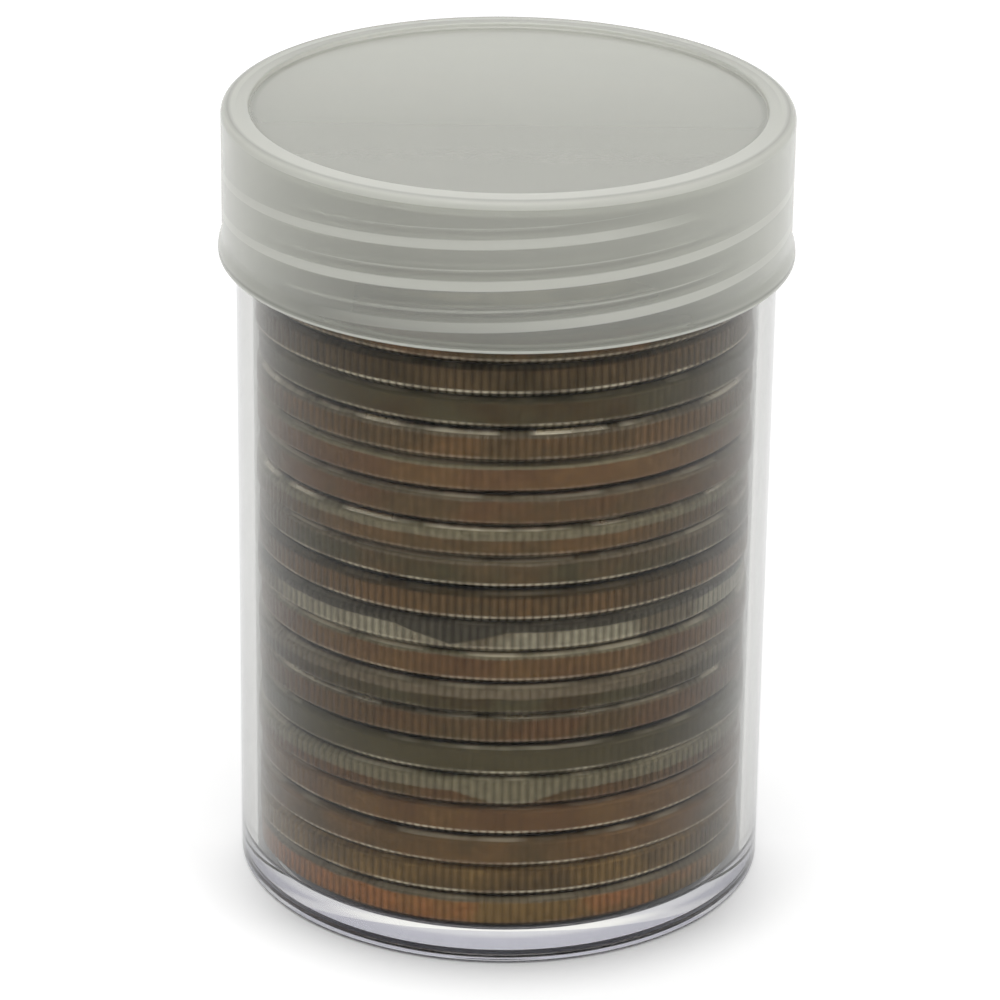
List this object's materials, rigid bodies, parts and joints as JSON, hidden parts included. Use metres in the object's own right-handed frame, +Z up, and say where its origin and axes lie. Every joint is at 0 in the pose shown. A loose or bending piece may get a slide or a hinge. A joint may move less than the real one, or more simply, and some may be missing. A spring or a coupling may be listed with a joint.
{
  "type": "coin tube",
  "caption": "Clear round plastic tube with a translucent screw cap, holding a roll of large reeded coins.",
  "frame": {"origin": "centre of the tube's foot, on the surface it stands on", "axes": "+Z up along the tube's axis, -Y towards the pictured front"},
  "size_m": [0.044, 0.044, 0.0623],
  "materials": {
    "clear_plastic": "clear moulded polystyrene, polished",
    "cap_plastic": "natural translucent polypropylene, satin",
    "coin_metal": "worn copper with nickel-coloured faces, toned"
  },
  "bodies": {
    "tube": {"tube": "clear_plastic"},
    "cap": {"cap": "cap_plastic"},
    "coin_01": {"coin_01": "coin_metal"},
    "coin_02": {"coin_02": "coin_metal"},
    "coin_03": {"coin_03": "coin_metal"},
    "coin_04": {"coin_04": "coin_metal"},
    "coin_05": {"coin_05": "coin_metal"},
    "coin_06": {"coin_06": "coin_metal"},
    "coin_07": {"coin_07": "coin_metal"},
    "coin_08": {"coin_08": "coin_metal"},
    "coin_09": {"coin_09": "coin_metal"},
    "coin_10": {"coin_10": "coin_metal"},
    "coin_11": {"coin_11": "coin_metal"},
    "coin_12": {"coin_12": "coin_metal"},
    "coin_13": {"coin_13": "coin_metal"},
    "coin_14": {"coin_14": "coin_metal"},
    "coin_15": {"coin_15": "coin_metal"},
    "coin_16": {"coin_16": "coin_metal"},
    "coin_17": {"coin_17": "coin_metal"},
    "coin_18": {"coin_18": "coin_metal"},
    "coin_19": {"coin_19": "coin_metal"},
    "coin_20": {"coin_20": "coin_metal"}
  },
  "joints": [
    {"name": "cap_turn", "type": "hinge", "parent": "tube", "child": "coin_01", "pos_m": [0, 0, 0.05], "axis": [0, 0, 1], "range_deg": [0, 1080]},
    {"name": "cap_lift", "type": "slide", "parent": "coin_01", "child": "cap", "axis": [0, 0, 1], "range_m": [0, 0.01905]},
    {"name": "roll_lift", "type": "slide", "parent": "tube", "child": "coin_02", "axis": [0, 0, 1], "range_m": [0, 0.0066]},
    {"name": "coin_03_turn", "type": "hinge", "parent": "coin_02", "child": "coin_03", "pos_m": [0.00001, -0.00014, 0.00756], "axis": [0, 0, 1], "continuous": true},
    {"name": "coin_04_turn", "type": "hinge", "parent": "coin_02", "child": "coin_04", "pos_m": [0.00009, 0.00011, 0.01014], "axis": [0, 0, 1], "continuous": true},
    {"name": "coin_05_turn", "type": "hinge", "parent": "coin_02", "child": "coin_05", "pos_m": [-0.00014, -0.00002, 0.01272], "axis": [0, 0, 1], "continuous": true},
    {"name": "coin_06_turn", "type": "hinge", "parent": "coin_02", "child": "coin_06", "pos_m": [0.00012, -0.00008, 0.0153], "axis": [0, 0, 1], "continuous": true},
    {"name": "coin_07_turn", "type": "hinge", "parent": "coin_02", "child": "coin_07", "pos_m": [-0.00004, 0.00014, 0.01788], "axis": [0, 0, 1], "continuous": true},
    {"name": "coin_08_turn", "type": "hinge", "parent": "coin_02", "child": "coin_08", "pos_m": [-0.00006, -0.00012, 0.02046], "axis": [0, 0, 1], "continuous": true},
    {"name": "coin_09_turn", "type": "hinge", "parent": "coin_02", "child": "coin_09", "pos_m": [0.00013, 0.00005, 0.02304], "axis": [0, 0, 1], "continuous": true},
    {"name": "coin_10_turn", "type": "hinge", "parent": "coin_02", "child": "coin_10", "pos_m": [-0.00013, 0.00005, 0.02562], "axis": [0, 0, 1], "continuous": true},
    {"name": "coin_11_turn", "type": "hinge", "parent": "coin_02", "child": "coin_11", "pos_m": [0.00006, -0.00013, 0.0282], "axis": [0, 0, 1], "continuous": true},
    {"name": "coin_12_turn", "type": "hinge", "parent": "coin_02", "child": "coin_12", "pos_m": [0.00004, 0.00013, 0.03078], "axis": [0, 0, 1], "continuous": true},
    {"name": "coin_13_turn", "type": "hinge", "parent": "coin_02", "child": "coin_13", "pos_m": [-0.00012, -0.00007, 0.03336], "axis": [0, 0, 1], "continuous": true},
    {"name": "coin_14_turn", "type": "hinge", "parent": "coin_02", "child": "coin_14", "pos_m": [0.00014, -0.00003, 0.03594], "axis": [0, 0, 1], "continuous": true},
    {"name": "coin_15_turn", "type": "hinge", "parent": "coin_02", "child": "coin_15", "pos_m": [-0.00008, 0.00011, 0.03852], "axis": [0, 0, 1], "continuous": true},
    {"name": "coin_16_turn", "type": "hinge", "parent": "coin_02", "child": "coin_16", "pos_m": [-0.00002, -0.00014, 0.0411], "axis": [0, 0, 1], "continuous": true},
    {"name": "coin_17_turn", "type": "hinge", "parent": "coin_02", "child": "coin_17", "pos_m": [0.00011, 0.00009, 0.04368], "axis": [0, 0, 1], "continuous": true},
    {"name": "coin_18_turn", "type": "hinge", "parent": "coin_02", "child": "coin_18", "pos_m": [-0.00014, 0.00001, 0.04626], "axis": [0, 0, 1], "continuous": true},
    {"name": "coin_19_turn", "type": "hinge", "parent": "coin_02", "child": "coin_19", "pos_m": [0.0001, -0.0001, 0.04884], "axis": [0, 0, 1], "continuous": true},
    {"name": "coin_20_turn", "type": "hinge", "parent": "coin_02", "child": "coin_20", "pos_m": [-0.00001, 0.00014, 0.05142], "axis": [0, 0, 1], "continuous": true}
  ],
  "couplings": [
    {"joint": "cap_lift", "follows": "cap_turn", "m_per_rad": 0.0010106}
  ]
}
